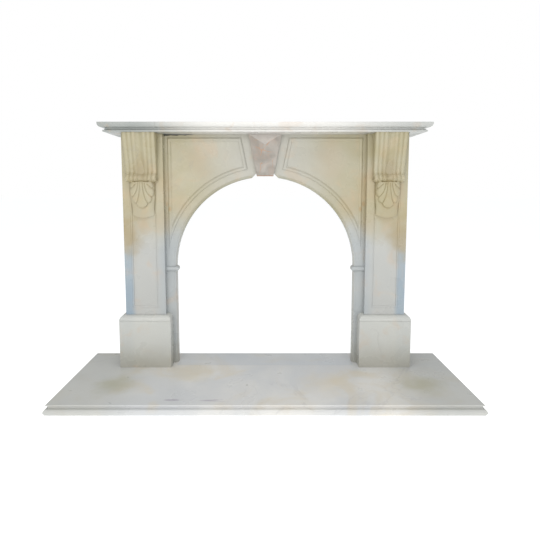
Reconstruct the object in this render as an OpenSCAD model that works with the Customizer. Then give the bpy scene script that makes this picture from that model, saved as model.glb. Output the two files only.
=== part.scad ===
// Arched marble fireplace mantel: hearth, two pilasters with carved corbels, a round arch of two
// spandrel slabs held by a pyramid-faced keystone, and a two-course moulded shelf.
// Millimetres. +Z is up, +Y runs back to the wall, and the origin is the middle of the hearth's underside.

/* [Arch] */
// Clear width of the opening between the slips
opening_w = 832; // [640:1:1000]
// Height from the top of the hearth to the springing of the arch
spring_h = 470; // [380:1:560]
// Height from the crown of the arch to the underside of the shelf
crown_h = 194; // [180:1:250]
// Thickness of the slips, spandrels and pilaster fronts
slab_t = 30; // [24:1:40]
// Width of the small moulding cut along the arris of the opening
arris_w = 12; // [8:1:16]

/* [Slip] */
// Width of the slip that shows between the opening and the pilaster
slip_show = 48; // [40:1:65]
// Length of slip that is hidden behind the pilaster
slip_lap = 59; // [40:1:80]
// Height of the impost bead
impost_h = 24; // [16:1:28]
// How far the impost bead stands out from the slip
impost_out = 10; // [6:1:12]
// Distance from the springing down to the middle of the impost bead
impost_drop = 13; // [13:1:30]

/* [Pilaster] */
// Width of the pilaster front
pilaster_w = 186; // [160:1:240]
// Width of the stiles and of the bottom rail around the sunk panel
stile_w = 32; // [26:1:42]
// Width of the moulding around the sunk panel
panel_mould_w = 10; // [6:1:14]
// Depth of the sunk panel
panel_sink = 6; // [4:1:9]
// Thickness of the return slab behind the outer edge of the pilaster
return_t = 25; // [20:1:35]
// Depth of the return from the back of the pilaster to the wall
return_d = 109; // [80:1:160]

/* [Plinth] */
// Height of the plinth blocks
plinth_h = 246; // [190:1:290]
// How far the plinth stands out in front of the pilaster
plinth_front = 24; // [16:1:32]
// How far the plinth stands out beyond the outer edge of the pilaster
plinth_side = 26; // [18:1:32]
// How far the plinth stands out beyond the inner edge of the pilaster
plinth_inner = 26; // [18:1:36]
// Radius of the rounded top edge of the plinth
plinth_r = 22; // [14:1:24]
// Depth of the line incised under the rounded edge
plinth_line = 1.5; // [1:0.5:3]

/* [Corbel] */
// Width of the corbel across its reeded front
corbel_w = 140; // [110:1:160]
// Height of the reeded scroll, from the shelf down to the springing of the leaf
scroll_h = 218; // [190:1:250]
// How far the corbel stands out at its top
corbel_out = 52; // [42:1:64]
// How far the corbel stands out at the narrow neck above its roll
neck_out = 22; // [16:1:30]
// Radius of the roll at the foot of the scroll
roll_r = 19; // [15:1:22]
// Width of the concave channel down the middle of the scroll
channel_w = 26; // [18:1:34]
// Depth of the concave channel
channel_d = 6; // [4:1:10]
// Height of the three reeds on each side of the channel
reed_h = 5; // [3:1:7]
// Height of the acanthus leaf below the roll
leaf_h = 117; // [95:1:140]
// Thickness of the leaf on the smooth drop behind it
leaf_t = 7; // [5:1:10]
// Height of smooth drop that shows below the leaf
drop_h = 45; // [35:1:65]
// How far the drop stands out under the roll
drop_out = 24; // [18:1:30]
// How far the foot of the drop stands out
drop_foot = 8; // [5:1:12]
// How far the foot of the drop sags below its ends
drop_sag = 14; // [10:1:24]

/* [Keystone] */
// Width of the keystone at its top
key_top_w = 152; // [130:1:190]
// Width of the keystone at its foot
key_foot_w = 76; // [60:1:95]
// How far the keystone stands out from the spandrels
key_out = 20; // [14:1:28]
// Height of the pyramid on the keystone's face
key_pyramid = 24; // [14:1:28]
// Drop from the top of the keystone to the upper point of its ridge
key_point = 50; // [38:1:64]
// Rise from the foot of the keystone to the lower point of its ridge
key_point_foot = 28; // [18:1:40]
// Height of the keystone's foot above the crown of the arch
key_lift = 4; // [2:1:14]
// Size of the corner cut from each spandrel beside the keystone's foot
corner_cut = 24; // [16:1:32]
// Height above the keystone's foot at which that cut meets the keystone
corner_rise = 13; // [8:1:18]

/* [Spandrel panel] */
// Plain margin between the arch arris and the raised bead
arch_margin = 28; // [22:1:40]
// Plain margin between the shelf and the raised bead
top_margin = 14; // [10:1:24]
// Plain margin between the pilaster and the raised bead
side_margin = 14; // [10:1:24]
// Plain margin between the keystone and the raised bead
key_margin = 35; // [28:1:48]
// Width of the raised bead
bead_w = 20; // [14:1:24]
// Height of the raised bead
bead_h = 6; // [3:1:8]
// Length of the chipped edge at the top of the left spandrel
chip_len = 136; // [80:1:160]
// Greatest depth of the chipped edge
chip_d = 8; // [4:1:10]

/* [Shelf] */
// Length that the shelf overhangs the pilaster at each end
shelf_over = 75; // [55:1:110]
// Depth of the shelf from the wall to its front edge
shelf_d = 220; // [200:1:270]
// Thickness of the shelf slab
shelf_t = 21; // [18:1:32]
// How far the shelf slab's edge curves in underneath
shelf_curve = 12; // [8:1:14]
// Thickness of the moulded course under the shelf
bed_t = 19; // [18:1:30]
// How far the moulded course is set back from the shelf's edge
bed_set = 17; // [12:1:24]

/* [Hearth] */
// Thickness of the hearth slab
hearth_t = 40; // [30:1:60]
// Length that the hearth runs past the plinth on each side
hearth_side = 183; // [120:1:240]
// Depth of the hearth from the wall to its front edge
hearth_d = 500; // [440:1:600]
// Radius of the roll around the edge of the hearth
hearth_roll = 12; // [9:1:13]
// How far the top lip of the hearth is set in from the roll
hearth_lip = 8; // [5:1:12]
// How far the groove between lip and roll is set in
hearth_groove = 15; // [12:1:18]

/* [Hidden] */
sides = ["left", "right"];
pieces = ["plinth", "pilaster", "return", "slip", "spandrel", "corbel"];

// Heights
arch_r = opening_w / 2;
spring_z = hearth_t + spring_h;
crown_z = spring_z + arch_r;
top_z = crown_z + crown_h;
plinth_z = hearth_t + plinth_h;
shelf_z = top_z + bed_t;

// Places across, measured out from the middle
pilaster_in = arch_r + slip_show;
pilaster_out = pilaster_in + pilaster_w;
pilaster_mid = (pilaster_in + pilaster_out) / 2;
plinth_out_x = pilaster_out + plinth_side;
plinth_in_x = pilaster_in - plinth_inner;
slip_out = pilaster_in + slip_lap;
shelf_half = pilaster_out + shelf_over;
hearth_half = plinth_out_x + hearth_side;

// Places in depth, measured from the middle of the hearth to the wall
wall_y = hearth_d / 2;
slip_y = wall_y - return_d;
slip_back = slip_y + slab_t;
pilaster_y = slip_y - slab_t;
plinth_y = pilaster_y - plinth_front;
key_y = slip_y - key_out;
shelf_y = wall_y - shelf_d;

// Shared values
eps = 1;
panel_half = pilaster_w / 2 - stile_w;
field_half = panel_half - panel_mould_w;
leaf_z = top_z - scroll_h;
drop_z = leaf_z - leaf_h - drop_h;
leaf_half = 54;
seat = 0.9;
marble_white = "#e2e2dc";
marble_cream = "#cfc8ae";
marble_grey = "#c4c6c4";
marble_beige = "#b7b1a7";

// Points of a quarter circle or ellipse from angle a to angle b
function arc(x, z, rx, rz, a, b, n = 8) =
    [for (i = [0:n]) let (t = a + (b - a) * i / n) [x + rx * cos(t), z + rz * sin(t)]];

// Smooth step from 0 to 1
function ease(t) = let (u = min(1, max(0, t))) u * u * (3 - 2 * u);

// A skin over rings that hold the same number of points, with a fan over each end
module skin(rings, hub = 0) {
    n = len(rings[0]);
    last = len(rings) - 1;
    walls = [for (r = [0:last - 1]) for (i = [0:n - 1]) let (j = (i + 1) % n)
        each [[r * n + i, r * n + j, r * n + n + j], [r * n + i, r * n + n + j, r * n + n + i]]];
    top = [for (i = [1:n - 2]) [hub, (hub + i + 1) % n, (hub + i) % n]];
    foot = [for (f = top) [for (k = [2:-1:0]) last * n + f[k]]];
    polyhedron(points = [for (r = rings) each r], faces = concat(walls, top, foot));
}

// A slab whose profile turns the two front corners: profile is a list of [inset, z]
module edged_slab(half, front, back, profile) {
    side = concat([for (p = profile) [half - p[0], p[1]]],
                  [for (i = [len(profile) - 1:-1:0]) [profile[i][0] - half, profile[i][1]]]);
    face = concat([for (p = profile) [front + p[0], p[1]]],
                  [[back, profile[len(profile) - 1][1]], [back, profile[0][1]]]);
    intersection() {
        translate([0, back, 0]) rotate([90, 0, 0]) linear_extrude(back - front) polygon(side);
        translate([-half, 0, 0]) rotate([90, 0, 90]) linear_extrude(2 * half) polygon(face);
    }
}

// Mirrors its child to the named side
module on_side(s) {
    mirror([s == "left" ? 1 : 0, 0, 0]) children();
}

module hearth() {
    roll_z = 2 * hearth_roll;
    lip_t = 4;
    profile = concat([[hearth_roll / 3, 0]],
                     arc(hearth_roll, hearth_roll, -hearth_roll, hearth_roll, -50, 60, 11),
                     [[hearth_groove, roll_z - 1]],
                     arc(hearth_lip, roll_z + 3, hearth_groove - hearth_lip, hearth_t - lip_t - roll_z - 3, 0, 90, 5),
                     [[hearth_lip, hearth_t]]);
    color(marble_grey) edged_slab(hearth_half, -hearth_d / 2, wall_y, profile);
}

// Plan of the plinth, drawn for the right side, with the slip's place left out
module plinth() {
    shoulder = plinth_z - plinth_r;
    profile = concat([[0, hearth_t], [0, shoulder - 4], [plinth_line, shoulder - 4],
                      [plinth_line, shoulder - 2], [0, shoulder - 2]],
                     arc(plinth_r, shoulder, -plinth_r, plinth_r, 0, 82, 8),
                     [[plinth_r, plinth_z]]);
    half = (plinth_out_x - plinth_in_x) / 2;
    color(marble_grey) difference() {
        translate([plinth_in_x + half, 0, 0]) edged_slab(half, plinth_y, wall_y, profile);
        translate([plinth_in_x - eps, slip_y, hearth_t - eps])
            cube([slip_out - plinth_in_x + eps, return_d + eps, plinth_h + 2 * eps]);
    }
}

// Sunk panel with an ovolo moulding, cut into a face that looks along -Y
module panel_cut(x, y, z0, z1) {
    // Each step is [inset from the outline, depth below the face]
    steps = concat([[0, -eps], [0, 1.5], [1.5, 1.5]],
                   arc(1.5, panel_sink, panel_mould_w - 3.5, 1.5 - panel_sink, 85, 0, 5),
                   [[panel_mould_w, panel_sink]]);
    skin([for (s = steps) [[x - panel_half + s[0], y + s[1], z0 + s[0]], [x + panel_half - s[0], y + s[1], z0 + s[0]],
                           [x + panel_half - s[0], y + s[1], z1 - s[0]], [x - panel_half + s[0], y + s[1], z1 - s[0]]]]);
}

module pilaster() {
    color(marble_cream) difference() {
        translate([pilaster_in, pilaster_y, plinth_z]) cube([pilaster_w, slab_t, top_z - plinth_z]);
        panel_cut(pilaster_mid, pilaster_y, plinth_z + stile_w, leaf_z + panel_mould_w);
    }
}

module return_slab() {
    color(marble_cream) translate([pilaster_out - return_t, slip_y, plinth_z])
        cube([return_t, return_d, top_z - plinth_z]);
}

module slip() {
    color(marble_cream) {
        difference() {
            translate([arch_r, slip_y, hearth_t]) cube([slip_out - arch_r, slab_t, spring_h]);
            translate([arch_r, slip_y, hearth_t - eps]) linear_extrude(spring_h + 2 * eps) polygon(arris_section());
        }
        impost(spring_z - impost_drop);
    }
}

// Outline of what is cut away at the arris, in plan: an ovolo that stands between two fillets
function arris_section() =
    concat([[-eps, -eps], [arris_w, -eps], [arris_w, 1.5]],
           [for (i = [0:6]) let (t = 90 * i / 6)
               [arris_w - 1 - (arris_w - 2.5) * sin(t), 1.5 + (arris_w - 2.5) * (1 - cos(t))]],
           [[-eps, arris_w - 1]]);

// Half-round bead that turns the corner of the slip, from the pilaster into the opening
module impost(mid) {
    round_face = arc(0, mid, 1, impost_h / 2, -90, 90, 10);
    section = [for (p = round_face) [-impost_out * p[0], p[1]]];
    depth = slip_back - slip_y;
    reach = pilaster_in - arch_r;
    intersection() {
        translate([0, slip_back, 0]) rotate([90, 0, 0]) linear_extrude(depth + impost_out)
            polygon([for (p = concat(section, [[reach, mid + impost_h / 2], [reach, mid - impost_h / 2]]))
                [arch_r + p[0], p[1]]]);
        translate([arch_r - impost_out, 0, 0]) rotate([90, 0, 90]) linear_extrude(reach + impost_out)
            polygon([for (p = concat(section, [[depth, mid + impost_h / 2], [depth, mid - impost_h / 2]]))
                [slip_y + p[0], p[1]]]);
    }
}

// Half-width of the keystone at height z
key_foot_z = crown_z + key_lift;
function key_half(z) =
    (key_foot_w + (key_top_w - key_foot_w) * (z - key_foot_z) / (top_z - key_foot_z)) / 2;

// Outline of the bead on the right spandrel, moved in by d from its outer line
function panel_outline(d, n = 24) =
    let (r = arch_r + arris_w + arch_margin + d,
         x1 = pilaster_in - side_margin - d,
         z1 = top_z - top_margin - d,
         lean = (key_top_w - key_foot_w) / 2 / (top_z - key_foot_z),
         slope = sqrt(1 + lean * lean),
         x0 = key_foot_w / 2 + (key_margin + d) * slope,
         q = (spring_z - key_foot_z) * lean + x0,
         a1 = acos(min(1, x1 / r)),
         // where the leaning side, x = q + lean * z, meets the arc
         b = (-q * lean + sqrt(r * r * (1 + lean * lean) - q * q)) / (1 + lean * lean),
         a0 = atan2(b, q + lean * b))
    concat([[x0 + lean * (z1 - key_foot_z), z1], [x1, z1]],
           [for (i = [0:n]) let (a = a1 + (a0 - a1) * i / n) [r * cos(a), spring_z + r * sin(a)]]);

// Raised half-round bead around the spandrel's panel, its foot let into the face
module panel_bead() {
    // Each step is [distance in from the outer line, height above the face]
    steps = [for (i = [0:6]) let (t = i / 6) [bead_w * t, bead_h * sin(180 * pow(t, 0.8))]];
    outer = [for (s = steps) [for (p = panel_outline(s[0])) [p[0], slip_y - s[1], p[1]]]];
    base = [for (d = [bead_w, 0]) [for (p = panel_outline(d)) [p[0], slip_y + 3, p[1]]]];
    rings = concat(outer, base);
    n = len(rings[0]);
    m = len(rings);
    polyhedron(points = [for (r = rings) each r],
               faces = [for (k = [0:m - 1]) for (i = [0:n - 1])
                   let (j = (i + 1) % n, l = (k + 1) % m)
                   each [[k * n + i, k * n + j, l * n + j], [k * n + i, l * n + j, l * n + i]]]);
}

// Ragged broken edge, as [place along the edge from 0 to 1, depth]
function chip_edge(n = 26) =
    [for (i = [0:n]) let (t = i / n)
        [t, chip_d * (0.62 + 0.2 * sin(1130 * t) + 0.14 * sin(2570 * t + 40)) * pow(1 - t, 0.35) + 0.2]];

// Cuts its outline, drawn in front view, right through the spandrel slab
module through_spandrel(outline) {
    translate([0, slip_back + eps, 0]) rotate([90, 0, 0]) linear_extrude(slab_t + 2 * eps) polygon(outline);
}

module spandrel(s) {
    cut_z = key_foot_z + corner_rise;
    cut_x = key_half(cut_z);
    color(marble_cream) difference() {
        union() {
            difference() {
                translate([0, slip_y, spring_z]) cube([slip_out, slab_t, top_z - spring_z]);
                translate([0, slip_back + eps, spring_z]) rotate([90, 0, 0])
                    cylinder(r = arch_r, h = slab_t + 2 * eps, $fn = 160);
                translate([0, slip_y, spring_z]) rotate([90, 0, 0]) rotate_extrude($fn = 160)
                    polygon([for (p = arris_section()) [arch_r + p[0], -p[1]]]);
                through_spandrel([[-eps, spring_z], [key_half(key_foot_z), spring_z],
                                  [key_half(key_foot_z), key_foot_z],
                                  [key_half(top_z + eps), top_z + eps], [-eps, top_z + eps]]);
                through_spandrel([[0, spring_z], [cut_x + corner_cut, spring_z],
                                  [cut_x + corner_cut, cut_z - corner_cut], [cut_x, cut_z], [0, cut_z]]);
            }
            panel_bead();
        }
        if (s == "left")
            translate([pilaster_in, slip_y + slab_t * 0.7, 0]) rotate([90, 0, 0]) linear_extrude(slab_t)
                polygon(concat([for (p = chip_edge()) [-chip_len * p[0], top_z - p[1]]],
                               [[-chip_len, top_z + eps], [eps, top_z + eps], [eps, top_z - chip_edge()[0][1]]]));
    }
}

// The four bevels of the keystone's face are planes, so the ridge leans back towards the foot
module keystone() {
    ridge_top = top_z - key_point;
    ridge_foot = key_foot_z + key_point_foot;
    pitch = key_pyramid / key_half(ridge_top);
    zt = top_z;
    zf = key_foot_z;
    pts = [[-key_half(zt), slip_back, zt], [key_half(zt), slip_back, zt],
           [key_half(zf), slip_back, zf], [-key_half(zf), slip_back, zf],
           [-key_half(zt), key_y, zt], [key_half(zt), key_y, zt],
           [key_half(zf), key_y, zf], [-key_half(zf), key_y, zf],
           [0, key_y - pitch * key_half(ridge_top), ridge_top],
           [0, key_y - pitch * key_half(ridge_foot), ridge_foot]];
    color(marble_beige) polyhedron(points = pts, faces = [
        [0, 1, 2, 3], [0, 4, 5, 1], [1, 5, 6, 2], [2, 6, 7, 3], [3, 7, 4, 0],
        [4, 8, 5], [5, 8, 9, 6], [6, 9, 7], [7, 9, 8, 4]]);
}

// Stand-out of the scroll's middle line at height z
function scroll_out(z) =
    let (roll_z = leaf_z + roll_r + 3,
         neck_z = roll_z + roll_r + 4,
         t = (z - neck_z) / (top_z - neck_z),
         fall = z > neck_z ? neck_out + (corbel_out - neck_out) * (0.6 * t + 0.4 * ease(t)) : neck_out,
         dz = z - roll_z,
         roll = abs(dz) < roll_r ? neck_out - 4 + sqrt(roll_r * roll_r - dz * dz) : 0)
    max(fall, roll);

// Relief of the reeds and channel at x from the middle of the scroll
reed_w = (corbel_w - channel_w) / 6;
function reed(x) =
    let (a = abs(x) - channel_w / 2)
    a < 0 ? -channel_d * cos(180 * x / channel_w) : reed_h * abs(sin(180 * a / reed_w));

// Stand-out of the smooth drop at u across, from -1 to 1, and height z
function drop_at(u, z) =
    let (t = (z - drop_z) / (leaf_z - drop_z),
         mid = drop_foot + (drop_out - drop_foot) * sin(90 * min(1, max(0, t))))
    mid * (0.35 + 0.65 * sqrt(1 - 0.98 * u * u));

// Three leaflets on each side of a broad middle one, as [x, drop below the roll, half-width, half-length, turn]
leaflets = [[37, 12, 14, 24, 38], [32, 42, 15, 30, 30], [24, 70, 13, 30, 24], [0, 90, 24, 27, 0]];
function leaflet(x, d, l) =
    let (px = abs(x) - l[0], pz = d - l[1],
         c = cos(l[4]), s = sin(l[4]),
         a = (px * c - pz * s) / l[2], b = (px * s + pz * c) / l[3],
         q = 1 - a * a - b * b)
    q > 0 ? pow(q, 0.4) : 0;
function leaf_at(x, z) =
    let (d = leaf_z - z,
         stem = abs(x) < 7 && d < leaf_h - 30 ? cos(90 * x / 7) : 0)
    leaf_t * max([stem * 0.8, for (l = leaflets) leaflet(x, d, l)]);

// One level ring of the corbel, seen from above: front from left to right, then round the back.
// Below the roll the corbel narrows to the sunk panel's field and its back steps down onto it.
function corbel_ring(z, n = 30) =
    let (in_leaf = z < leaf_z,
         under = ease((leaf_z + 9 - z) / 16),
         half = corbel_w / 2 + (field_half - 0.3 - corbel_w / 2) * under,
         sunk = z < leaf_z - 1,
         back = sunk ? panel_sink : 0,
         back_half = sunk ? field_half - 0.3 : half,
         w = ease((leaf_z - leaf_h - z) / drop_h) * drop_sag)
    concat(
        [for (i = [0:n]) let (u = 2 * i / n - 1, x = u * half)
            [x, -(in_leaf ? drop_at(u, z) + leaf_at(u * leaf_half, z)
                          : scroll_out(z) + reed(u * corbel_w / 2)), z + w * u * u]],
        [[half, -2 * seat, z + w], [back_half, -seat, z + w], [back_half, back, z + w], [0, back, z],
         [-back_half, back, z + w], [-back_half, -seat, z + w], [-half, -2 * seat, z + w]]);

module corbel() {
    levels = concat([for (i = [0:13]) top_z - (scroll_h - 2 * roll_r - 9) * i / 13],
                    [for (i = [1:12]) leaf_z + roll_r + 3 + (roll_r + 5) * cos(180 * i / 13 + 12) - 1.2],
                    [for (i = [0:22]) leaf_z - 1.6 - (leaf_h - 2) * i / 22],
                    [for (i = [1:7]) leaf_z - leaf_h - drop_h * i / 7]);
    color(marble_cream) translate([pilaster_mid, pilaster_y, 0])
        skin([for (z = levels) corbel_ring(z)], hub = 34);
}

// A roll with a cove above it and a narrow fillet under the shelf
module bed_mould() {
    roll = 4;
    fillet = 4;
    cove_w = 7;
    profile = concat([[roll, top_z]],
                     arc(roll, top_z + roll, -roll, roll, -75, 0, 5),
                     [[0, top_z + roll + 2]],
                     arc(1.5, shelf_z - fillet, cove_w, roll + fillet - bed_t + 3.5, 90, 0, 5),
                     [[1.5 + cove_w, shelf_z]]);
    color(marble_white) edged_slab(shelf_half - bed_set, shelf_y + bed_set, wall_y, profile);
}

module shelf() {
    z0 = shelf_z;
    profile = concat(arc(shelf_curve, z0 + shelf_t - 4, -shelf_curve, 4 - shelf_t, 90, 0, 8),
                     [[0, z0 + shelf_t - 1.5], [1.5, z0 + shelf_t]]);
    color(marble_white) edged_slab(shelf_half, shelf_y, wall_y, profile);
}

hearth();
keystone();
bed_mould();
shelf();
for (s = sides) {
    on_side(s) plinth();
    on_side(s) pilaster();
    on_side(s) return_slab();
    on_side(s) slip();
    on_side(s) spandrel(s);
    on_side(s) corbel();
}
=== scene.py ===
# %% [markdown]
# # An arched marble fireplace mantel
# The mantel is a kit of marble slabs: a moulded hearth, two pilasters on plinth blocks with a carved
# corbel on each, an arch of two spandrels locked by a pyramid-faced keystone, and a moulded shelf.
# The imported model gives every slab's place. Each piece is modelled to those places, in metres, and
# then takes a polished marble finish. +Z is up, and +Y runs back to the wall.

# %% Load the fixed frame
import math

import bmesh
import bpy
import numpy as np
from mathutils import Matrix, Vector


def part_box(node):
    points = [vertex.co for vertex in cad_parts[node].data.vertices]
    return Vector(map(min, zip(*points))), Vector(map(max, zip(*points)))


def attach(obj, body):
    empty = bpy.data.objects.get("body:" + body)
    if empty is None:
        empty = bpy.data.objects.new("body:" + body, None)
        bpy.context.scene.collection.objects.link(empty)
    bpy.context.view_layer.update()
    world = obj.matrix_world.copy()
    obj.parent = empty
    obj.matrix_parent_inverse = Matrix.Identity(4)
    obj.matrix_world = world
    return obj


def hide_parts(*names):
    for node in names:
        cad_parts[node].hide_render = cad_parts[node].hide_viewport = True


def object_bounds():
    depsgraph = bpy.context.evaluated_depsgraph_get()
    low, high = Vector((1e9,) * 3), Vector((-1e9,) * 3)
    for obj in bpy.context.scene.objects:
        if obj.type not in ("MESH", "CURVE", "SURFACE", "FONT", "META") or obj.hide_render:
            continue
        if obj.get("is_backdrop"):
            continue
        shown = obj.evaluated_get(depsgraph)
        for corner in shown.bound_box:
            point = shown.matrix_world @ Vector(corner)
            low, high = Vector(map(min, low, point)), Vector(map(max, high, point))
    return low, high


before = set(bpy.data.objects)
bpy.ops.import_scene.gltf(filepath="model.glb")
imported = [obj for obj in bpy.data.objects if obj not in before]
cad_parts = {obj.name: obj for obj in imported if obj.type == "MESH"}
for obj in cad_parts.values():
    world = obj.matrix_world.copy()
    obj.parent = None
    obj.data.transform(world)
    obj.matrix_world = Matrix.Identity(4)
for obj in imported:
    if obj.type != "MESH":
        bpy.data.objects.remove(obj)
cad_low, cad_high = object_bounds()
scene = bpy.context.scene
print("CAD box", tuple(round(v, 3) for v in cad_low), tuple(round(v, 3) for v in cad_high))

# %% [markdown]
# ## Places
# A mason sets everything out from a few lines: the wall, the top of each course, and the two edges of
# each pilaster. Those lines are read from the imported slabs. What lies between them, such as a moulding's
# curves, the sunk panel and the carving, is set by the measures in its own cell.

# %% Read the setting-out lines
MM = 0.001
SIDES = {"left": -1, "right": 1}
wall_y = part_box("shelf")[1].y
hearth_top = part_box("hearth")[1].z
plinth_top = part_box("right_plinth")[1].z
pilaster_low, pilaster_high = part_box("right_pilaster")
corbel_low, corbel_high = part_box("right_corbel")
spring_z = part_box("right_spandrel")[0].z
bed_z = pilaster_high.z
corbel_mid = (corbel_low.x + corbel_high.x) / 2
print("pilaster from", round(pilaster_low.x, 3), "to", round(pilaster_high.x, 3))
print("springing at", round(spring_z, 3))

# %% [markdown]
# ## Helpers for working by hand
# An edit-mode operator acts on whatever is selected. So everything is deselected before a primitive is
# added, and faces or edges are picked by their place. Polished slabs are never razor sharp, so each piece
# ends with a narrow bevel on its arrises. Weighted normals then keep the broad faces looking flat.

# %% Selecting, softening and measuring
def deselect():
    if bpy.context.object and bpy.context.object.mode != "OBJECT":
        bpy.ops.object.mode_set(mode="OBJECT")
    bpy.ops.object.select_all(action="DESELECT")


def activate(piece):
    deselect()
    piece.select_set(True)
    bpy.context.view_layer.objects.active = piece


def place(piece, name, size):
    """Gives a new primitive its name and size, and puts its place in its mesh."""
    piece.name = name
    piece.data.name = name
    piece.scale = size
    bpy.ops.object.transform_apply(location=True, rotation=True, scale=True)


def block_between(name, low, high):
    """Adds a plain block from its corner low to its corner high."""
    deselect()
    bpy.ops.mesh.primitive_cube_add(size=1, location=(low + high) / 2)
    block = bpy.context.object
    place(block, name, high - low)
    return block


def pick(kind, wanted):
    """Selects the faces, edges or verts of the mesh in edit mode that wanted() accepts."""
    bpy.ops.mesh.select_all(action="DESELECT")
    bpy.ops.mesh.select_mode(type={"faces": "FACE", "edges": "EDGE", "verts": "VERT"}[kind])
    mesh = bpy.context.object.data
    bm = bmesh.from_edit_mesh(mesh)
    for element in [element for element in getattr(bm, kind) if wanted(element)]:
        element.select_set(True)
    bm.select_flush_mode()
    bmesh.update_edit_mesh(mesh)


def soften(piece, width=0.8 * MM, sharper_than=50, smooth_under=28):
    """Rounds the arrises a little, then shades curves smooth and broad faces flat."""
    activate(piece)
    bevel = piece.modifiers.new("arris", "BEVEL")
    bevel.width = width
    bevel.segments = 2
    bevel.limit_method = "ANGLE"
    bevel.angle_limit = math.radians(sharper_than)
    bpy.ops.object.modifier_apply(modifier=bevel.name)
    bpy.ops.object.shade_smooth_by_angle(angle=math.radians(smooth_under))
    weighted = piece.modifiers.new("broad faces", "WEIGHTED_NORMAL")
    weighted.keep_sharp = True
    bpy.ops.object.modifier_apply(modifier=weighted.name)


def measure(piece):
    """Prints a piece's size, triangles and open edges, which should be none.

    Points in one place are joined before the edges are counted, or a surface
    folded onto itself would pass for a closed one.
    """
    bm = bmesh.new()
    bm.from_mesh(piece.data)
    triangles = sum(len(face.verts) - 2 for face in bm.faces)
    volume = bm.calc_volume(signed=True)
    bmesh.ops.remove_doubles(bm, verts=bm.verts, dist=0.001 * MM)
    open_edges = sum(1 for edge in bm.edges if not edge.is_manifold)
    bm.free()
    size = [round(v / MM) for v in piece.dimensions]
    litres = round(volume * 1000, 2)
    print(f"{piece.name}: {size} mm, {triangles} triangles, {open_edges} open edges, {litres} litres")


def curve(mid_in, mid_z, reach_in, reach_z, start, end, steps):
    """Points of a quarter ellipse in a moulding's profile, as (inset, height)."""
    angles = [math.radians(start + (end - start) * i / steps) for i in range(steps + 1)]
    return [(mid_in + reach_in * math.cos(a), mid_z + reach_z * math.sin(a)) for a in angles]


# %% [markdown]
# ## Moulded slabs
# The hearth, the plinths and both courses of the shelf are slabs with one profile run along three sides
# and mitred at the corners. A mason works that profile with rasps and then polishes it. Here a plane is
# laid at the slab's foot and extruded up the profile step by step. After each step it is scaled from the
# middle of its back edge, so the ends and front draw in together and the back stays flat on the wall.

# %% A slab raised along its profile
def moulded_slab(name, left, right, front, back, profile):
    deselect()
    inset, foot = profile[0]
    middle = (left + right) / 2
    bpy.ops.mesh.primitive_plane_add(size=1, location=(middle, (front + inset + back) / 2, foot))
    slab = bpy.context.object
    place(slab, name, (right - left - 2 * inset, back - front - inset, 1))
    bpy.ops.object.mode_set(mode="EDIT")
    bpy.ops.mesh.select_all(action="SELECT")
    for (was, was_z), (now, now_z) in zip(profile, profile[1:]):
        bpy.ops.mesh.extrude_region_move(TRANSFORM_OT_translate={"value": (0, 0, now_z - was_z)})
        across = (right - left - 2 * now) / (right - left - 2 * was)
        deep = (back - front - now) / (back - front - was)
        bpy.ops.transform.resize(value=(across, deep, 1), center_override=(middle, back, now_z))
    bpy.ops.mesh.select_all(action="SELECT")
    bpy.ops.mesh.normals_make_consistent(inside=False)
    bpy.ops.object.mode_set(mode="OBJECT")
    return slab


# %% [markdown]
# ## Hearth
# The hearth is the one slab seen from above. Its edge has a fat roll at the foot, a cove over it and a
# thin square lip, so a line of shadow runs along the front and both ends between roll and lip.

# %% The hearth
hearth_low, hearth_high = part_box("hearth")
ROLL = 12 * MM
LIP_IN = 8 * MM
GROOVE_IN = 15 * MM
LIP_TALL = 4 * MM
cove_foot = 2 * ROLL + 3 * MM
hearth_profile = (
    [(ROLL / 3, 0)]
    + curve(ROLL, ROLL, -ROLL, ROLL, -50, 62, 16)
    + [(GROOVE_IN, 2 * ROLL - 1 * MM)]
    + curve(LIP_IN, cove_foot, GROOVE_IN - LIP_IN, hearth_top - LIP_TALL - cove_foot, 0, 90, 8)
    + [(LIP_IN, hearth_top)]
)
hearth = moulded_slab("hearth_slab", hearth_low.x, hearth_high.x, hearth_low.y, wall_y, hearth_profile)
soften(hearth, width=0.9 * MM, smooth_under=25)
measure(hearth)

# %% [markdown]
# ## Plinths
# Each plinth is a plain block with a rounded top edge and one fine line cut under it. The slip beside the
# opening runs down behind its front, so the block is cut to an L in plan. That cut is a boolean with a
# cube, as a mason would saw it out of the finished block. Where the incised line ends at the wall, the bevel
# leaves slits with no width. They can't be seen, but they would leave the solid open, so they are closed.

# %% The two plinths
ROUND = 22 * MM
LINE_DEEP = 1.5 * MM
LINE_TALL = 2 * MM
shoulder = plinth_top - ROUND
plinth_profile = (
    [(0, hearth_top), (0, shoulder - 2 * LINE_TALL)]
    + [(LINE_DEEP, shoulder - 2 * LINE_TALL), (LINE_DEEP, shoulder - LINE_TALL), (0, shoulder - LINE_TALL)]
    + curve(ROUND, shoulder, -ROUND, ROUND, 0, 84, 14)
    + [(ROUND, plinth_top)]
)
slip_low, slip_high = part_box("right_slip")
slip_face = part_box("right_return")[0].y
CUT = Vector((0.2, 0.2, 0.4))  # the cutter, in metres: larger than the corner that it takes away
SLIT = 0.02 * MM


def close_slits(piece):
    """Joins points that fell together and fills what is left open between them."""
    activate(piece)
    bpy.ops.object.mode_set(mode="EDIT")
    bpy.ops.mesh.select_all(action="SELECT")
    bpy.ops.mesh.remove_doubles(threshold=SLIT)
    bpy.ops.mesh.dissolve_degenerate(threshold=SLIT)
    bpy.ops.mesh.fill_holes(sides=4)
    bpy.ops.mesh.select_all(action="SELECT")
    bpy.ops.mesh.normals_make_consistent(inside=False)
    bpy.ops.object.mode_set(mode="OBJECT")


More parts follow.
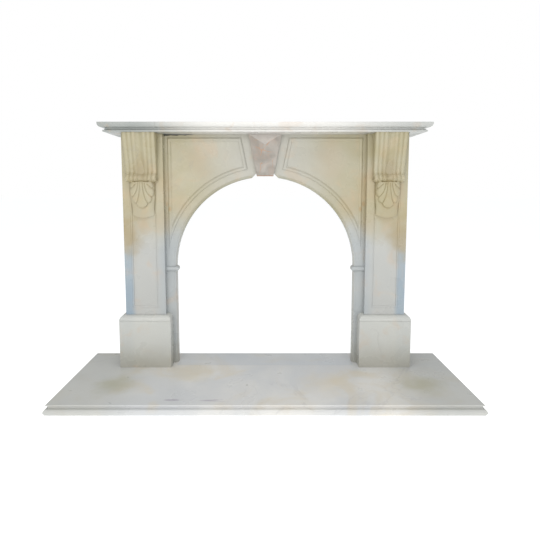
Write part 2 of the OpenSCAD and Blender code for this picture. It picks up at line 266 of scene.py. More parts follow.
plinths = {}
for side, sign in SIDES.items():
    low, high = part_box(side + "_plinth")
    block = moulded_slab(side + "_plinth_block", low.x, high.x, low.y, wall_y, plinth_profile)
    cut_low = Vector((slip_high.x - CUT.x if sign > 0 else -slip_high.x, slip_face, 0))
    cutter = block_between("slip_cutter", cut_low, cut_low + CUT)
    activate(block)
    notch = block.modifiers.new("notch", "BOOLEAN")
    notch.object = cutter
    notch.solver = "EXACT"
    bpy.ops.object.modifier_apply(modifier=notch.name)
    bpy.data.objects.remove(cutter)
    soften(block, width=0.7 * MM)
    close_slits(block)
    plinths[side] = block
    measure(block)

# %% [markdown]
# ## Shelf
# Two slabs make the shelf. The upper one has a square edge whose underside curves in. The lower one is a
# bed mould, with a small roll at its foot and a cove above it, which carries the eye from wall to shelf.

# %% The shelf and its bed mould
shelf_low, shelf_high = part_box("shelf")
bed_low, bed_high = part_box("bed_mould")
CURVE_IN = 12 * MM
EDGE_UP = 4 * MM
edge_z = shelf_high.z - EDGE_UP
shelf_profile = curve(CURVE_IN, edge_z, -CURVE_IN, shelf_low.z - edge_z, 90, 0, 12) + [
    (0, shelf_high.z - 1.5 * MM),
    (1.5 * MM, shelf_high.z),
]
BED_ROLL = 4 * MM
FILLET = 4 * MM
COVE_WIDE = 7 * MM
COVE_IN = 1.5 * MM
cove_top = bed_high.z - FILLET
cove_low = bed_low.z + 2 * BED_ROLL - 0.5 * MM
bed_profile = (
    [(BED_ROLL, bed_low.z)]
    + curve(BED_ROLL, bed_low.z + BED_ROLL, -BED_ROLL, BED_ROLL, -80, 0, 8)
    + [(0, bed_low.z + BED_ROLL + 2 * MM)]
    + curve(COVE_IN, cove_top, COVE_WIDE, cove_low - cove_top, 90, 0, 8)
    + [(COVE_IN + COVE_WIDE, bed_high.z)]
)
shelf = moulded_slab("shelf_slab", shelf_low.x, shelf_high.x, shelf_low.y, wall_y, shelf_profile)
bed = moulded_slab("bed_mould_course", bed_low.x, bed_high.x, bed_low.y, wall_y, bed_profile)
for piece in (shelf, bed):
    soften(piece, width=0.6 * MM)
    measure(piece)

# %% [markdown]
# ## Pilasters
# The front of a pilaster is one slab with a long sunk panel, left between two stiles and a bottom rail.
# An inset of the front face draws the stiles. Its top edge is then drawn down behind the corbel, and the
# panel is sunk along its moulding by small extrudes, each scaled in from the middle of the panel.

# %% The two pilasters
STILE = 32 * MM
PANEL_SINK = 6 * MM
PANEL_MOULD = 10 * MM
FIRST_DROP = 1.5 * MM
LEAF_Z = 902  # in millimetres: the roll of the corbel ends here, and its leaf begins
CORBEL_FOOT = LEAF_Z * MM
panel_steps = (
    [(0, FIRST_DROP), (FIRST_DROP, FIRST_DROP)]
    + curve(FIRST_DROP, PANEL_SINK, PANEL_MOULD - 3.5 * MM, FIRST_DROP - PANEL_SINK, 85, 0, 9)
    + [(PANEL_MOULD, PANEL_SINK)]
)


def sink_panel(half_wide, low_z, high_z, face_y, middle, steps):
    """Sinks the selected face along steps of (inset, depth)."""
    was_in, was_deep = 0, 0
    half_tall = (high_z - low_z) / 2
    for now_in, now_deep in steps:
        bpy.ops.mesh.extrude_region_move(TRANSFORM_OT_translate={"value": (0, now_deep - was_deep, 0)})
        across = (half_wide - now_in) / (half_wide - was_in)
        tall = (half_tall - now_in) / (half_tall - was_in)
        centre = (middle, face_y + now_deep, (low_z + high_z) / 2)
        bpy.ops.transform.resize(value=(across, 1, tall), center_override=centre)
        was_in, was_deep = now_in, now_deep


pilasters = {}
for side, sign in SIDES.items():
    low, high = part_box(side + "_pilaster")
    middle = (low.x + high.x) / 2
    slab = block_between(side + "_pilaster_front", low, high)
    bpy.ops.object.mode_set(mode="EDIT")
    pick("faces", lambda face: face.normal.y < -0.9)
    bpy.ops.mesh.inset(thickness=STILE)
    inner_top = high.z - STILE
    panel_top = CORBEL_FOOT + PANEL_MOULD
    pick("edges", lambda edge: all(abs(v.co.z - inner_top) < MM and abs(v.co.y - low.y) < MM
                                   for v in edge.verts))
    bpy.ops.transform.translate(value=(0, 0, panel_top - inner_top))
    half_wide = (high.x - low.x) / 2 - STILE
    pick("faces", lambda face: face.normal.y < -0.9
         and all(abs(v.co.x - middle) < half_wide + MM for v in face.verts)
         and all(low.z + STILE - MM < v.co.z < panel_top + MM for v in face.verts))
    sink_panel(half_wide, low.z + STILE, panel_top, low.y, middle, panel_steps)
    bpy.ops.object.mode_set(mode="OBJECT")
    soften(slab, width=0.6 * MM)
    pilasters[side] = slab
    measure(slab)

# %% [markdown]
# ## Returns
# Behind the outer edge of each pilaster a plain slab runs back to the wall and closes the side. Its outer
# face is polished like the front, so the two long edges of that face are rounded more than the hidden ones.

# %% The two returns
UPRIGHT = 0.5  # an edge that rises more than this, in metres, is one of the long ones
returns = {}
for side, sign in SIDES.items():
    low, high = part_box(side + "_return")
    slab = block_between(side + "_return_slab", low, high)
    bpy.ops.object.mode_set(mode="EDIT")
    outer = high.x if sign > 0 else low.x
    pick("edges", lambda edge: all(abs(v.co.x - outer) < MM for v in edge.verts)
         and abs(edge.verts[0].co.z - edge.verts[1].co.z) > UPRIGHT)
    bpy.ops.mesh.bevel(offset=1.2 * MM, segments=3, affect="EDGES")
    bpy.ops.object.mode_set(mode="OBJECT")
    soften(slab, width=0.4 * MM)
    returns[side] = slab
    measure(slab)

# %% [markdown]
# ## Slips, spandrels and keystone
# The slips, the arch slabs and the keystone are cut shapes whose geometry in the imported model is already
# the real one: arch moulding, impost bead, raised bead, cut corners and the broken edge. Modelling them
# again would only repeat it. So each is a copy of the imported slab. Its loose triangles are merged, flat
# faces are joined, and the arrises are softened like those of every other piece. The broken edge runs out
# in a step that is lower than a softened arris is wide. The step is closed first, or the surface would fold.

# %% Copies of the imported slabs
def merged_copy(node, name):
    piece = bpy.data.objects.new(name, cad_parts[node].data.copy())
    piece.data.name = name
    piece.data.materials.clear()
    scene.collection.objects.link(piece)
    activate(piece)
    bpy.ops.mesh.customdata_custom_splitnormals_clear()
    bpy.ops.object.mode_set(mode="EDIT")
    bpy.ops.mesh.select_all(action="SELECT")
    bpy.ops.mesh.remove_doubles(threshold=0.01 * MM)
    bpy.ops.mesh.dissolve_limited(angle_limit=math.radians(0.2))
    bpy.ops.mesh.normals_make_consistent(inside=False)
    bpy.ops.object.mode_set(mode="OBJECT")
    return piece


CHIP_END = 0.3 * MM  # just over the height of that step
slips = {}
spandrels = {}
for side in SIDES:
    slips[side] = merged_copy(side + "_slip", side + "_slip_slab")
    soften(slips[side], width=0.4 * MM, sharper_than=55)
    spandrels[side] = merged_copy(side + "_spandrel", side + "_spandrel_slab")
    activate(spandrels[side])
    bpy.ops.object.mode_set(mode="EDIT")
    pick("verts", lambda point: point.co.z > bed_z - 0.5 * MM)
    bpy.ops.mesh.remove_doubles(threshold=CHIP_END)
    bpy.ops.object.mode_set(mode="OBJECT")
    soften(spandrels[side], width=0.4 * MM, sharper_than=60)
    measure(slips[side])
    measure(spandrels[side])
keystone = merged_copy("keystone", "keystone_block")
soften(keystone, width=1.1 * MM, sharper_than=12, smooth_under=8)
measure(keystone)

# %% [markdown]
# ## Corbels
# A corbel is the carved piece. Six reeds and a middle channel sweep down from the shelf, dive into a
# narrow neck and turn over a roll. An acanthus leaf hangs under it, on a smooth drop that ends in a curve.
# Carving like this is a relief, one height over each point of the face. So the piece is a fine grid
# primitive, whose rows and columns are laid on the face and then lifted by the relief, as a sculptor
# works in from a flat block. The heights are in millimetres from the pilaster's face.

# %% The corbel's main curves
COLUMNS = 116
ROWS = 310
TOP_HALF = 72  # half-widths: under the shelf, at the roll, beside the leaf, and in the panel
ROLL_HALF = 68
LEAF_HALF = 56
FIELD_HALF = 50.5
FOOT_Z = round(corbel_low.z / MM)
TOP_Z = round(corbel_high.z / MM)
LEAF_TALL = 117
DROP_TALL = 45
ROLL_R = 19
ROLL_SET_IN = 5  # how far the middle of the roll lies behind the face of the neck
ROLL_MID = LEAF_Z + ROLL_R + 3
NECK_Z = ROLL_MID + ROLL_R + 4
TOP_OUT = 52
NECK_OUT = 22
DROP_OUT = 25
DROP_FOOT = 3
EDGE_FOOT = -4.5  # the drop's two edges start this far in at its foot, behind the pilaster's face
EDGE_RISE = 7
FOOT_SAG = 14
CHANNEL = 26
REED_HIGH = 4.2
CHANNEL_DEEP = 4.5
SEAM = 3  # height over which the leaf's relief gives way to the roll's
WIDTH_SEAM = 7  # height over which its width does
LEAF_WIDENS = 50  # height over which the leaf draws in to the panel
MAX_OUT = TOP_OUT + 5
HOLLOW_REACH = 4  # in grid points
HOLLOW_FROM = 0.2
HOLLOW_RANGE = 3.2


def ease(t):
    t = np.clip(t, 0, 1)
    return t * t * (3 - 2 * t)


def half_width(z):
    """Half the corbel's width: it draws in down the scroll, then under the roll, then to the panel."""
    scroll = ROLL_HALF + (TOP_HALF - ROLL_HALF) * np.clip((z - ROLL_MID) / (TOP_Z - ROLL_MID), 0, 1)
    leaf = FIELD_HALF + (LEAF_HALF - FIELD_HALF) * ease((z - LEAF_Z + LEAF_TALL) / LEAF_WIDENS)
    return leaf + (scroll - leaf) * ease((z - LEAF_Z + SEAM) / WIDTH_SEAM)


def scroll_stand(u, z):
    """Stand-out of the reeded scroll and its roll."""
    t = np.clip((z - NECK_Z) / (TOP_Z - NECK_Z), 0, 1)
    sweep = NECK_OUT + (TOP_OUT - NECK_OUT) * (0.55 * t + 0.45 * ease(t))
    under = np.sqrt(np.clip(ROLL_R ** 2 - (z - ROLL_MID) ** 2, 0, None))
    over = ROLL_R * (0.5 + 0.5 * np.cos(np.pi * np.clip((z - ROLL_MID) / (ROLL_R + 7), 0, 1)))
    roll = NECK_OUT - ROLL_SET_IN + np.where(z > ROLL_MID, over, under)
    soft = np.where(z > ROLL_MID, 5.0, 0.5)
    body = 0.5 * (sweep + roll + np.sqrt((sweep - roll) ** 2 + soft ** 2)) - soft / 4
    on_roll = ease(1.5 * (1 - np.abs(z - ROLL_MID) / (ROLL_R + 6)))
    x = u * (TOP_HALF + ROLL_HALF) / 2
    reed_wide = ((TOP_HALF + ROLL_HALF) - CHANNEL) / 6
    out = np.abs(x) - CHANNEL / 2
    ridge = np.abs(np.sin(np.pi * out / reed_wide))
    reed = (REED_HIGH + 1.6 * on_roll) * ridge ** (0.85 - 0.25 * on_roll)
    channel = -(CHANNEL_DEEP - 1.5 * on_roll) * np.cos(np.pi * np.clip(x / CHANNEL, -0.5, 0.5))
    return body + np.where(out < 0, channel, reed)


def drop_stand(u, z):
    """Stand-out of the smooth drop: crowned across, and sinking into the panel at its foot."""
    t = np.clip((z - FOOT_Z) / (LEAF_Z - FOOT_Z), 0, 1)
    middle = DROP_FOOT + (DROP_OUT - DROP_FOOT) * np.sin(np.pi / 2 * t)
    edge = EDGE_FOOT + EDGE_RISE * ease(1.15 * t - 0.1)
    return edge + (middle - edge) * np.sqrt(np.clip(1 - 0.985 * np.abs(u) ** 2.1, 0, 1))


# %% [markdown]
# The carver first cuts the leaf's outline: three rounded lobes on each side and one at the tip. Fine
# valleys then run from each notch up towards the stem, and the stone between two valleys is crowned like a
# petal. So the relief needs two distances at each point: to the outline, and to the nearest valley.

# %% The acanthus leaf
# Places are (across from the middle, down from the foot of the roll), in millimetres, for half of the leaf
NOTCHES = [(38, -4), (47, 27), (42, 66), (26, 95), (0, LEAF_TALL)]
BULGES = [11, 11, 9, 6]
VALLEYS = [
    (NOTCHES[1], (37, 20), (27, 9)),
    (NOTCHES[2], (17, 46), (15, 4)),
    (NOTCHES[3], (7, 66), (6, 3)),
]
STEM_LINES = ((3.2, 70), (2.0, 40), (2.4, 2))
LEAF_THICK = 4.2
CROWN = 2.6
VALLEY_DEEP = 2.0


def bowed(start, end, bulge, steps=14):
    """Points of a rounded lobe that stands out by bulge between two notches."""
    (x0, d0), (x1, d1) = start, end
    length = math.hypot(x1 - x0, d1 - d0)
    out_x, out_d = (d1 - d0) / length, -(x1 - x0) / length
    lobe = []
    for i in range(steps):
        t = i / steps
        rise = bulge * (4 * t * (1 - t)) ** 0.62
        lobe.append((x0 + (x1 - x0) * t + out_x * rise, d0 + (d1 - d0) * t + out_d * rise))
    return lobe


def swept(points, steps=12):
    """Points of a smooth line from the first point to the last, drawn towards the middle one."""
    (ax, ad), (bx, bd), (cx, cd) = points
    path = []
    for i in range(steps + 1):
        t = i / steps
        p, q, r = (1 - t) ** 2, 2 * t * (1 - t), t * t
        path.append((p * ax + q * bx + r * cx, p * ad + q * bd + r * cd))
    return path


def distance_to(path, x, drop):
    """Distance from each point to a line of straight steps."""
    nearest = np.full(x.shape, 1e3)
    for (x0, d0), (x1, d1) in zip(path, path[1:]):
        step_x, step_d = x1 - x0, d1 - d0
        t = np.clip(((x - x0) * step_x + (drop - d0) * step_d) / (step_x ** 2 + step_d ** 2 + 1e-9), 0, 1)
        nearest = np.minimum(nearest, np.hypot(x - x0 - t * step_x, drop - d0 - t * step_d))
    return nearest


def within(path, x, drop):
    """Whether each point lies inside the closed outline."""
    inside = np.zeros(x.shape, bool)
    for (x0, d0), (x1, d1) in zip(path, path[1:] + path[:1]):
        crosses = (d0 > drop) != (d1 > drop)
        at = x0 + (drop - d0) * (x1 - x0) / (d1 - d0 + 1e-12)
        inside ^= crosses & (x < at)
    return inside


PAST_MIDDLE = -60  # the right half's outline is closed on the far side of the middle
lobes = [bowed(start, end, bulge) for start, end, bulge in zip(NOTCHES, NOTCHES[1:], BULGES)]
leaf_edge = [point for lobe in lobes for point in lobe] + NOTCHES[-1:]
leaf_shape = leaf_edge + [(PAST_MIDDLE, NOTCHES[-1][1]), (PAST_MIDDLE, NOTCHES[0][1])]


def leaf_relief(x, z):
    drop = LEAF_Z - z
    side = np.abs(x)
    to_edge = distance_to(leaf_edge, side, drop)
    to_valley = np.full(x.shape, 1e3)
    for valley in VALLEYS:
        to_valley = np.minimum(to_valley, distance_to(swept(valley), side, drop))
    to_stem_line = distance_to(swept(STEM_LINES), side, drop)
    relief = LEAF_THICK * (1 - np.exp(-((to_edge / 1.4) ** 1.2)))
    relief += CROWN * np.sqrt(np.clip(np.minimum(to_valley, 1.3 * to_edge + 2) / 9, 0, 1))
    relief -= VALLEY_DEEP * np.exp(-((to_valley / 1.5) ** 1.5))
    relief -= 0.9 * np.exp(-((to_stem_line / 1.0) ** 2))
    return np.where(within(leaf_shape, side, drop), np.clip(relief, 0, None), 0)


# %% [markdown]
# The hollows of old carving hold some wax and soot, and they lie in shade. How far each point lies below
# its surroundings is kept on the mesh as an attribute, and the marble's colour darkens with it later: painted
# shade, with some grime. The back of the corbel is let into the panel. At the roll it is wider than the
# panel, so there it overlaps the stiles as well, behind their face and up to 6 mm deep.

# %% Lift the grid and close its back
def spread(heights, reach):
    """Blurs the relief, by averaging over a square of 2 * reach + 1 points twice."""
    for _ in range(2):
        for axis in (0, 1):
            pad = [(reach, reach) if a == axis else (0, 0) for a in (0, 1)]
            total = np.cumsum(np.pad(heights, pad, mode="edge"), axis=axis)
            total = np.insert(total, 0, 0, axis=axis)
            size = heights.shape[axis]
            upper = np.take(total, range(2 * reach + 1, size + 2 * reach + 1), axis=axis)
            lower = np.take(total, range(0, size), axis=axis)
            heights = (upper - lower) / (2 * reach + 1)
    return heights


def carve_corbel(name, middle):
    deselect()
    bpy.ops.mesh.primitive_grid_add(x_subdivisions=COLUMNS, y_subdivisions=ROWS, size=2)
    piece = bpy.context.object
    place(piece, name, (1, 1, 1))
    mesh = piece.data
    flat = np.zeros(len(mesh.vertices) * 3)
    mesh.vertices.foreach_get("co", flat)
    flat = flat.reshape(-1, 3)
    u = flat[:, 0].reshape(ROWS + 1, COLUMNS + 1)
    z = FOOT_Z + (TOP_Z - FOOT_Z) * (flat[:, 1].reshape(u.shape) + 1) / 2
    x = u * half_width(z)
    below = drop_stand(u, z) + leaf_relief(x, z)
    above = np.maximum(scroll_stand(u, z), drop_stand(u, z))
    stand = below + (above - below) * ease((z - LEAF_Z) / SEAM)
    stand = np.minimum(stand, MAX_OUT)
    sag = FOOT_SAG * ease((LEAF_Z - LEAF_TALL - z) / DROP_TALL)
    hollow_shade_and_grime = np.clip((spread(stand, HOLLOW_REACH) - stand - HOLLOW_FROM) / HOLLOW_RANGE, 0, 1)
    points = np.stack([middle + x * MM, pilaster_low.y - stand * MM, (z + sag * u * u) * MM], axis=-1)
    mesh.vertices.foreach_set("co", points.reshape(-1))
    kept = mesh.attributes.new("hollow_shade_and_grime", "FLOAT", "POINT")
    kept.data.foreach_set("value", hollow_shade_and_grime.reshape(-1))
    mesh.update()
    bpy.ops.object.mode_set(mode="EDIT")
    pick("edges", lambda edge: edge.is_boundary)
    bpy.ops.mesh.extrude_edges_move(TRANSFORM_OT_translate={"value": (0, MM, 0)})
    bm = bmesh.from_edit_mesh(mesh)
    for vert in bm.verts:
        if vert.select:
            vert.co.y = pilaster_low.y + (PANEL_SINK if vert.co.z < CORBEL_FOOT else 0)
    bmesh.update_edit_mesh(mesh)
    bpy.ops.mesh.edge_face_add()
    bpy.ops.mesh.quads_convert_to_tris()
    bpy.ops.mesh.select_all(action="SELECT")
    bpy.ops.mesh.normals_make_consistent(inside=False)
    bpy.ops.object.mode_set(mode="OBJECT")
    bpy.ops.object.shade_smooth_by_angle(angle=math.radians(62))
    return piece


corbels = {side: carve_corbel(side + "_corbel_carving", sign * corbel_mid) for side, sign in SIDES.items()}
for piece in corbels.values():
    measure(piece)

# %% [markdown]
# ## Colour and nodes
# Colours are written as sRGB hex values, as a colour picker shows them, and one function turns them to the
# linear values that a shader wants. Another adds a node with its settings and its links. Every pattern
# reads Object coordinates, which are metres in the room, so veins run on from slab to slab.

# %% Colour and node helpers
MARBLE_IOR = 1.49
GRAIN_MM = 1.5


def linear(text):
    parts = [int(text[i:i + 2], 16) / 255 for i in (1, 3, 5)]
    return [c / 12.92 if c <= 0.04045 else ((c + 0.055) / 1.055) ** 2.4 for c in parts] + [1.0]


def add(tree, kind, sockets=None, **settings):
    """Adds a node. A socket's value is a number, a colour or the output that feeds it."""
    node = tree.nodes.new(kind)
    for key, value in settings.items():
        setattr(node, key, value)
    for key, value in (sockets or {}).items():
        if isinstance(value, bpy.types.NodeSocket):
            tree.links.new(value, node.inputs[key])
        else:
            node.inputs[key].default_value = value
    return node


def maths(tree, operation, a, b=0.0, c=0.0):
    return add(tree, "ShaderNodeMath", {0: a, 1: b, 2: c}, operation=operation).outputs[0]


def graded(tree, value, start, end, low=0.0, high=1.0):
    """Follows value from start to end with a smooth step from low to high."""
    sockets = {"Value": value, "From Min": start, "From Max": end, "To Min": low, "To Max": high}
    return add(tree, "ShaderNodeMapRange", sockets, interpolation_type="SMOOTHSTEP").outputs["Result"]


def blend(tree, amount, under, over):
    """Lays colour over on colour under by amount."""
    node = add(tree, "ShaderNodeMix", data_type="RGBA", blend_type="MIX")
    for key, value in ((0, amount), (6, under), (7, over)):
        if isinstance(value, bpy.types.NodeSocket):
            tree.links.new(value, node.inputs[key])
        else:
            node.inputs[key].default_value = linear(value) if isinstance(value, str) else value
    return node.outputs[2]


def noise(tree, where, scale, detail=3.0, distortion=0.0):
    sockets = {"Vector": where, "Scale": scale, "Detail": detail, "Distortion": distortion}
    return add(tree, "ShaderNodeTexNoise", sockets).outputs["Fac"]


def new_marble(name):
    """An empty marble: its node tree, shader, coordinates and their three parts."""
    material = bpy.data.materials.new(name)
    material.use_nodes = True
    tree = material.node_tree
    shader = tree.nodes["Principled BSDF"]
    where = add(tree, "ShaderNodeTexCoord").outputs["Object"]
    parts = add(tree, "ShaderNodeSeparateXYZ", {0: where}).outputs
    return material, tree, shader, where, parts


def veins(tree, where, scale, width, distortion=0.7):
    """Thin wandering lines: the places where a noise field crosses its middle value."""
    field = noise(tree, where, scale, 5.0, distortion)
    away = maths(tree, "ABSOLUTE", maths(tree, "SUBTRACT", field, 0.5))
    return graded(tree, away, 0.0, width, 1.0, 0.0)


def blot(tree, where, middle, ragged, raggedness, inner, outer, strength):
    """A blot with an uneven edge, which fades from its inner to its outer reach, used for stains and for
    patches of painted shade.
    """
    away = add(tree, "ShaderNodeVectorMath", {0: where, 1: middle}, operation="DISTANCE").outputs["Value"]
    uneven = maths(tree, "MULTIPLY_ADD", maths(tree, "SUBTRACT", ragged, 0.5), raggedness, away)
    return graded(tree, uneven, inner, outer, strength, 0.0)


def crystals(tree, where, colour, tint):
    """Lays the faint sparkle of calcite crystals over a colour."""
    grain = graded(tree, noise(tree, where, 420.0, 2.0), 0.3, 0.7, 0.0, 0.07)
    return blend(tree, grain, colour, tint)


def polish(tree, shader, where, roughness, wear, depth_mm):
    """A hand-rubbed polish: gloss that varies over the slab, on a surface that is not quite flat."""
    patchy = noise(tree, where, 9.0, 4.0)
    tree.links.new(graded(tree, patchy, 0.3, 0.7, roughness, roughness + wear), shader.inputs["Roughness"])
    fine = noise(tree, where, 1000 / GRAIN_MM, 3.0)
    broad = noise(tree, where, 22.0, 2.0)
    height = maths(tree, "MULTIPLY_ADD", fine, 0.25, broad)
    bump = add(tree, "ShaderNodeBump", {"Strength": 0.35, "Distance": depth_mm * MM, "Height": height})
    tree.links.new(bump.outputs["Normal"], shader.inputs["Normal"])
    shader.inputs["IOR"].default_value = MARBLE_IOR


# %% [markdown]
# ## Polished statuary marble
# The surround is statuary marble, calcite sawn and polished, with an index of refraction near 1.49. It is
# close to white when new. Here old wax and smoke have turned its upper half to cream, the foot has stayed
# grey-white, and soft tan stains sit on the stiles. Height and distance from the middle drive those tones.
# Some tones are painted light and shade: the cool tone of the lower outer stiles and slips, and painted shade
# at the shelf's ends, in the corbel's neck and hollows, along the arch moulding and towards the foot.

# %% Statuary marble for the surround
ARCH_R = slip_low.x + 10 * MM
# Each tone comes in between two heights, and between two distances from the middle, in metres
CREAM_HEIGHT, CREAM_ACROSS = (0.56, 0.82), (0.06, 0.46)
STILE_HEIGHT, STILE_ACROSS = (0.62, 0.54), (0.595, 0.625)
SLIP_HEIGHT, SLIP_ACROSS = (0.74, 0.58), (0.520, 0.460)
# The shelf's ends take a painted shade, stronger on the left
LEFT_END_SHADE, RIGHT_END_SHADE = (-0.20, -0.60), (0.20, 0.66)  # from plain marble to the tone of the shelf's ends
FOOT_SHADE_HEIGHT = (hearth_top + 0.17, hearth_top + 0.02)
# The cool tone is painted: a reflection of cool light on the outer stiles, and painted shade on the slips
STILE_PAINTED_COOL, SLIP_PAINTED_COOL = 0.90, 0.30
RUN_DOWN = 0.65  # stains run down, so they are longer than they are wide
FRONT_SKIN = 8 * MM  # the cool tone is only on what faces the room, to this depth
# Each stain, or patch of painted shade, is (place as (across, height), reach, tint, strength)
STAINS_AND_NECK_SHADE = [
    ((0.630, 0.650), 0.090, "#94804f", 0.80),
    ((0.626, 0.740), 0.070, "#a39367", 0.35),
    ((0.557, 0.700), 0.045, "#a6916c", 0.40),
    ((0.478, 0.720), 0.055, "#a79573", 0.38),
    ((0.470, 0.880), 0.075, "#b09971", 0.42),
    ((0.456, 0.802), 0.012, "#a4814c", 0.55),
    ((0.442, 0.778), 0.012, "#a4814c", 0.55),
    ((0.390, 0.800), 0.060, "#b29975", 0.30),
    ((0.300, 1.010), 0.090, "#b39c7e", 0.30),
    # These two, at the corbel's neck under the scroll, are painted shade with some stain
    ((0.557, 0.950), 0.075, "#94804f", 0.50),
    ((0.557, 0.953), 0.040, "#84703d", 0.50),
    ((0.557, 0.770), 0.060, "#a39062", 0.40),
    ((0.600, 0.850), 0.090, "#a89668", 0.30),
]


def painted_cool_mask(tree, across, height, depth, across_range, height_range, face_y):
    """Where the painted cool reflection and shade lie: between two distances and heights, on a face that
    looks at the room.
    """
    amount = maths(tree, "MULTIPLY", graded(tree, height, *height_range), graded(tree, across, *across_range))
    return maths(tree, "MULTIPLY", amount, graded(tree, depth, face_y + FRONT_SKIN, face_y + MM))


def statuary(name, white, cream, cool, cream_amount=1.0, painted_cool_amount=1.0, ends=None):
    """Marble for the surround. ends is a painted shade for the two ends, which only the shelf takes."""
    material, tree, shader, where, parts = new_marble(name)
    across = maths(tree, "ABSOLUTE", parts[0])
    wander = noise(tree, where, 3.4, 3.0)
    height = maths(tree, "MULTIPLY_ADD", maths(tree, "SUBTRACT", wander, 0.5), 0.30, parts[2])
    aged = graded(tree, height, *CREAM_HEIGHT)
    outward = graded(tree, across, *CREAM_ACROSS, 0.30, 1.0)
    aged = maths(tree, "MULTIPLY", maths(tree, "MULTIPLY", aged, outward), cream_amount)
    colour = blend(tree, aged, white, cream)
    # Painted cool reflection on the lower outer stiles, and painted shade on the slips behind the pilasters
    stile = painted_cool_mask(tree, across, height, parts[1], STILE_ACROSS, STILE_HEIGHT, pilaster_low.y)
    slip = painted_cool_mask(tree, across, height, parts[1], SLIP_ACROSS, SLIP_HEIGHT, slip_face)
    stile = maths(tree, "MULTIPLY", stile, STILE_PAINTED_COOL * painted_cool_amount)
    colour = blend(tree, maths(tree, "MULTIPLY_ADD", slip, SLIP_PAINTED_COOL * painted_cool_amount, stile), colour, cool)
    # Painted shade at the shelf's ends, darker to the left
    if ends:
        colour = blend(tree, graded(tree, parts[0], *RIGHT_END_SHADE, 0.0, 0.60), colour, ends)
        colour = blend(tree, graded(tree, parts[0], *LEFT_END_SHADE, 0.0, 0.95), colour, ends)
    # An olive band along the arch moulding: painted shade in the moulding, with some soot
    above_spring = maths(tree, "SUBTRACT", parts[2], spring_z)
    from_arch = add(tree, "ShaderNodeCombineXYZ", {0: across, 2: above_spring}).outputs[0]
    radius = add(tree, "ShaderNodeVectorMath", {0: from_arch}, operation="LENGTH").outputs["Value"]
    arris = maths(tree, "MULTIPLY", graded(tree, radius, ARCH_R + 14 * MM, ARCH_R + 9 * MM, 0.0, 0.38),
                  graded(tree, parts[2], spring_z + 0.10, spring_z + 0.30))
    colour = blend(tree, arris, colour, "#8f8b6a")
    drawn_out = maths(tree, "MULTIPLY", parts[2], RUN_DOWN)
    face = add(tree, "ShaderNodeCombineXYZ", {0: across, 2: drawn_out}).outputs[0]
    ragged = noise(tree, where, 16.0, 4.0)
    for (spot_x, spot_z), reach, tint, strength in STAINS_AND_NECK_SHADE:
        middle = (spot_x, 0, RUN_DOWN * spot_z)
        amount = blot(tree, face, middle, ragged, reach, 0.15 * reach, reach, strength * cream_amount)
        colour = blend(tree, amount, colour, tint)
    # Darker towards the foot: painted shade, with some grime at the foot
    foot = maths(tree, "MULTIPLY_ADD", ragged, 0.06, parts[2])
    colour = blend(tree, graded(tree, foot, *FOOT_SHADE_HEIGHT, 0.0, 0.50), colour, "#8c8671")
    cloud = graded(tree, noise(tree, where, 5.5, 5.0, 0.4), 0.30, 0.70, 0.0, 0.22)
    colour = blend(tree, cloud, colour, "#c2c2bb")
    warm = graded(tree, noise(tree, where, 11.0, 4.0, 0.8), 0.52, 0.72, 0.0, 0.20)
    colour = blend(tree, warm, colour, "#c3a27c")
    line = veins(tree, where, 2.6, 0.012)
    seen = graded(tree, noise(tree, where, 1.7, 2.0), 0.45, 0.62, 0.0, 0.22)
    colour = blend(tree, maths(tree, "MULTIPLY", line, seen), colour, "#8f8c86")
    colour = crystals(tree, where, colour, "#8b8677")
    # Painted shade in the corbel's hollows, with some grime
    hollow_shade_and_grime = add(tree, "ShaderNodeAttribute", attribute_name="hollow_shade_and_grime").outputs["Fac"]
    colour = blend(tree, maths(tree, "MULTIPLY", hollow_shade_and_grime, 0.40), colour, "#857343")
    tree.links.new(colour, shader.inputs["Base Color"])
    polish(tree, shader, where, 0.24, 0.16, 0.5)
    return material


surround_marble = statuary("polished statuary marble", "#afb0ad", "#a69e7e", "#879aa9")
shelf_marble = statuary(
    "polished statuary marble of the shelf", "#dddcd9", "#d5d3cb", "#c2c7c9",
    cream_amount=0.25, painted_cool_amount=0.4, ends="#8d9391")
plinth_marble = statuary(
    "polished statuary marble of the plinths", "#bfc0bb", "#b3ae9d", "#b4b8b7",
    cream_amount=0.6, painted_cool_amount=0.5)
print(surround_marble.name, "has", len(surround_marble.node_tree.nodes), "nodes")

# %% [markdown]
# ## Broken marble
# Marble that has snapped shows its crystals. The break is matt and a little rough, and its near-black colour
# is a painted shadow for the gap under the shelf. Only the chipped top edge of the left spandrel has it.

# %% Broken marble in painted shadow for the chipped edge
broken_marble_in_shadow, tree, shader, where, parts = new_marble("broken marble edge in painted shadow")
sugar = noise(tree, where, 260.0, 4.0)
mottle = noise(tree, where, 45.0, 3.0)
# Near black: a painted shadow for the gap under the shelf
colour = blend(tree, graded(tree, mottle, 0.35, 0.65), "#2b2928", "#4a463f")
tree.links.new(colour, shader.inputs["Base Color"])
shader.inputs["Roughness"].default_value = 0.85
shader.inputs["IOR"].default_value = MARBLE_IOR
bump = add(tree, "ShaderNodeBump", {"Strength": 0.8, "Distance": 0.8 * MM, "Height": sugar})
tree.links.new(bump.outputs["Normal"], shader.inputs["Normal"])

# %% [markdown]
# ## Hearth marble
# The hearth is a greyer marble with drifting clouds, a few purple-grey veins near its front, and tan
# smudges. The olive patches by the plinths are painted shadow and reflection of the plinths. A fine straight
# line crosses it inside the opening, and the strip behind that line is faintly blue.

